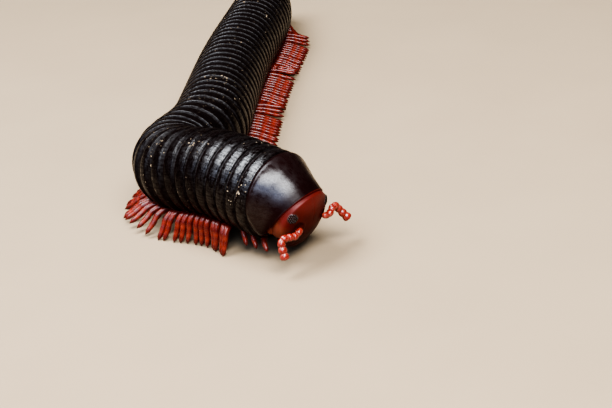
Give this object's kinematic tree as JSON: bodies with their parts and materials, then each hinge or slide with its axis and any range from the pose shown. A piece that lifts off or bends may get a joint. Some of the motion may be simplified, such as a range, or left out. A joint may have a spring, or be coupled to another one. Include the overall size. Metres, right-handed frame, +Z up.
{
  "type": "red-legged millipede",
  "caption": "Life-size still model of a red-legged millipede: long glossy black ringed body with a sharp bend, domed hood, red head, short feelers and rows of red legs.",
  "frame": {"origin": "on the floor, under the middle of the animal's outline", "axes": "+Z up, +Y along the body from the head end towards the tail, +X to the side that the head turns to"},
  "size_m": [0.0282, 0.1044, 0.0129],
  "materials": {
    "cuticle": "glossy black cuticle with dark red-brown depth",
    "hood": "smooth glossy black hood plate with a thin red rim",
    "head": "glossy dark maroon to red-orange",
    "feeler": "glossy coral red",
    "eye": "glossy black eye patch",
    "valve": "glossy dark red-brown"
  },
  "bodies": {
    "root": {"antenna_left": "feeler", "antenna_right": "feeler", "collum": "hood", "eye_left": "eye", "eye_right": "eye", "head": "head", "telson": "cuticle", "trunk_01": "cuticle", "trunk_02": "cuticle", "trunk_03": "cuticle", "trunk_04": "cuticle", "trunk_05": "cuticle", "trunk_06": "cuticle", "trunk_07": "cuticle", "trunk_08": "cuticle", "trunk_09": "cuticle", "trunk_10": "cuticle", "trunk_11": "cuticle", "trunk_12": "cuticle", "valve_left": "valve", "valve_right": "valve"}
  },
  "joints": []
}
